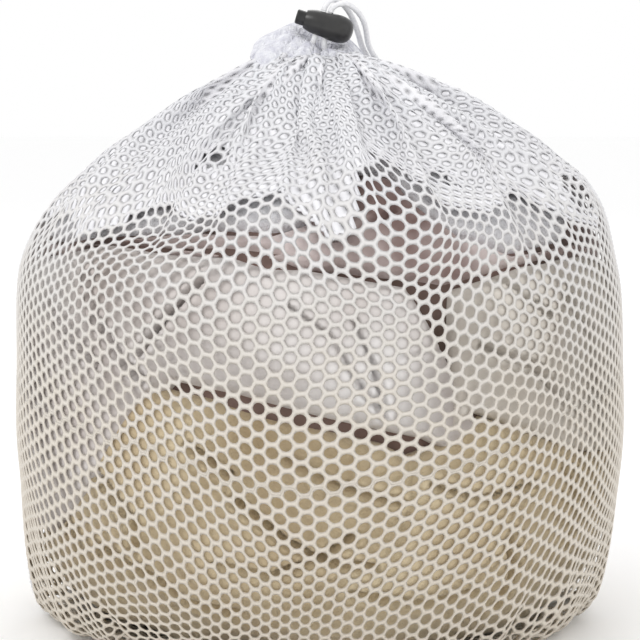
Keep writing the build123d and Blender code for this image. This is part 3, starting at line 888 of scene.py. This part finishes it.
TAIL_A = [
    (1.553, -8, 264.794), (2.371, -8, 267.472), (5.4, -6.8, 270.0), (9.2, -3.6, 268.2), (12.4, -0.6, 264.6),
    (14.9, 3.4, 259.6), (16.8, 8.4, 254.2), (18.2, 15, 249.3), (20.5, 24, 244.9), (25, 38, 238.5), (31, 54, 229.5),
    (36, 71.5, 218), (39.5, 90, 204.5), (42.5, 111.5, 190), (44, 123.5, 166), (43.5, 128, 134), (45, 126, 100),
    (48, 125.5, 67), (48.5, 124.5, 38), (47, 126.5, 18), (46, 132, 5), (44.5, 142.5, 1.3), (37, 153, 1.3),
    (19.5, 159, 1.3), (-3, 154.5, 1.4), (-22, 149.2, 2.4), (-38, 146, 3.0)]
TAIL_B = [
    (4.422, -8, 263.917), (5.065, -8, 266.021), (7.6, -8.2, 267.6), (11.4, -6.9, 268.0), (15.4, -3.4, 265.4),
    (18.4, 0.6, 261.6), (20, 5, 256.6), (20.6, 10.6, 251.6), (22.2, 18, 247.2), (26, 29, 241.8), (31.5, 43, 234.4),
    (38.5, 59, 224.6), (45, 75.5, 212.8), (50.5, 97, 198.5), (53.5, 114.5, 179), (53.5, 124, 152), (51.5, 124.5, 121),
    (50.5, 123, 88), (53.5, 122, 57), (55.5, 122.5, 33), (56, 126, 15.5), (55.5, 133, 4), (53, 144, 1.3),
    (44.5, 157.5, 1.3), (25, 164.5, 1.3), (-2, 158.5, 1.4), (-22.6, 152.1, 2.4), (-38.6, 148.9, 3.0)]
LOOP = [
    (1.553, -8, 264.794), (-3.885, -8, 247.007), (-9.5, -7.5, 243), (-12, 1, 243.5), (-6.5, 9.5, 244.5),
    (3, 11.5, 244.5), (10.5, 6, 243.5), (10.5, -3.5, 242.5), (-1.017, -8, 246.129), (4.422, -8, 263.917)]

loop_line, _ = spline_line("loop_line", LOOP)
braid("drawstring_in_hem", loop_line, 0.0025, "drawstring_loop", "bag")
tail_lines, tails = {}, {}
for letter, route in (("a", TAIL_A), ("b", TAIL_B)):
    tail_lines[letter], length = spline_line(f"tail_line_{letter}", route)
    tail = braid(f"drawstring_end_{letter}", tail_lines[letter], 0.0025, f"cord_tail_{letter}", None)
    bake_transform(tail)
    tails[letter] = (tail, length)


def tied_knot():
    """Both ends together in one overhand knot."""
    knot_low, knot_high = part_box("end_knot")
    centre = np.array([(a + b) / 2 for a, b in zip(knot_low, knot_high)])
    t = np.linspace(0, 2 * pi, 260, endpoint=False)
    reach = 0.42 * (1.55 + np.cos(3 * t))
    bend = np.stack([reach * np.cos(2 * t), reach * np.sin(2 * t), 0.9 * np.sin(3 * t)], -1)
    line = bend * 0.0021
    line[:, 2] = line[:, 2] * 0.8
    along = np.gradient(np.vstack([line[-1:], line, line[:1]]), axis=0)[1:-1]
    along /= np.linalg.norm(along, axis=1, keepdims=True)
    up_axis = np.array([0, 0, 1.0])
    side = np.cross(along, up_axis)
    side /= np.linalg.norm(side, axis=1, keepdims=True)
    other = np.cross(along, side)
    turn = np.arange(16) / 16 * 2 * pi
    s = np.arange(len(line))[:, None]
    radius = 0.00135 * (1 + 0.06 * np.cos(4 * turn + s * 0.5) * np.cos(4 * turn - s * 0.5))
    rings = line[:, None] + radius[..., None] * (np.cos(turn)[None, :, None] * side[:, None]
                                                 + np.sin(turn)[None, :, None] * other[:, None])
    n, cols = rings.shape[:2]
    index = np.arange(n * cols).reshape(n, cols)
    right, down = np.roll(index, -1, 1), np.roll(index, -1, 0)
    quads = np.stack([index, right, np.roll(down, -1, 1), down], -1).reshape(-1, 4)
    points = rings.reshape(-1, 3)
    points = points[:, [2, 0, 1]] * (1.25, 1, 1) + centre
    points[:, 2] = np.maximum(points[:, 2], 0.0002)
    knot = add_mesh("knot_in_drawstring", points, quads, cord_white)
    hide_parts("end_knot")
    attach(knot, "bag")
    return knot


knot = tied_knot()


# ---- CAD pieces that keep their shape -------------------------------------------------

def finish_cad(name, look):
    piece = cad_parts[name]
    piece.data.materials.clear()
    piece.data.materials.append(look)
    return piece


finish_cad("lock_barrel", lock_plastic)
finish_cad("lock_plunger", plunger_plastic)


def coil_spring():
    """The spring inside the barrel."""
    centre = np.array([0.00135, -0.008, 0.259])
    axis = np.array([0.956305, 0, -0.292372])
    side, other = np.array([0.292372, 0, 0.956305]), np.array([0, 1.0, 0])
    start, stop, turns = 0.004395, 0.011105, 5
    t = np.linspace(0, 1, turns * 24 + 1)[:, None]
    swing = t * turns * 2 * pi
    line = centre + axis * (start + (stop - start) * t) + 0.00175 * (np.cos(swing) * side + np.sin(swing) * other)
    out = np.cos(swing) * side + np.sin(swing) * other
    turn = np.arange(10) / 10 * 2 * pi
    rings = line[:, None] + 0.000175 * (np.cos(turn)[None, :, None] * out[:, None]
                                        + np.sin(turn)[None, :, None] * axis)
    spring = tube_mesh("coil_spring", rings, spring_steel, "lock_spring", None)
    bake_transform(spring)


coil_spring()
finish_cad("bottom_seam", seam_tape)


# ---- floor, light, camera -------------------------------------------------------------

floor_mat = material("floor_mat", (0.985, 0.985, 0.985), 1.0)
bpy.ops.mesh.primitive_plane_add(size=8, location=(0, 0, -0.0004))
floor = bpy.context.object
floor.name = "floor"
floor.data.materials.append(floor_mat)

world = bpy.data.worlds.new("studio")
world.use_nodes = True
world.node_tree.nodes["Background"].inputs["Color"].default_value = (1, 1, 1, 1)
world.node_tree.nodes["Background"].inputs["Strength"].default_value = 1.0
bpy.context.scene.world = world


def lamp(name, at, aim, size, watts):
    light = bpy.data.lights.new(name, "AREA")
    light.shape = "DISK"
    light.size = size
    light.energy = watts
    holder = bpy.data.objects.new(name, light)
    holder.location = at
    holder.rotation_euler = (Vector(aim) - Vector(at)).to_track_quat("-Z", "Y").to_euler()
    bpy.context.scene.collection.objects.link(holder)


lamp("key", (-0.7, -1.0, 1.3), (0, 0, 0.12), 0.9, 2.0)
lamp("fill", (1.2, -0.9, 0.7), (0, 0, 0.12), 1.4, 1.7)
lamp("strip", (-0.42, -0.40, 0.72), (0, -0.01, 0.26), 0.34, 1.0)
lamp("back", (0.3, 1.2, 1.2), (0, 0, 0.15), 1.0, 3)

camera_data = bpy.data.cameras.new("camera")
camera = bpy.data.objects.new("camera", camera_data)
bpy.context.scene.collection.objects.link(camera)
distance, tilt = 1.15, radians(7)
aim = Vector((0, 0, 0.1305))
camera.location = aim + Vector((0, -cos(tilt), sin(tilt))) * distance
camera.rotation_euler = (aim - camera.location).to_track_quat("-Z", "Y").to_euler()
camera_data.sensor_width = 36
camera_data.lens = 36 * distance / 0.2797
bpy.context.scene.camera = camera
bpy.context.scene.view_settings.view_transform = "Standard"
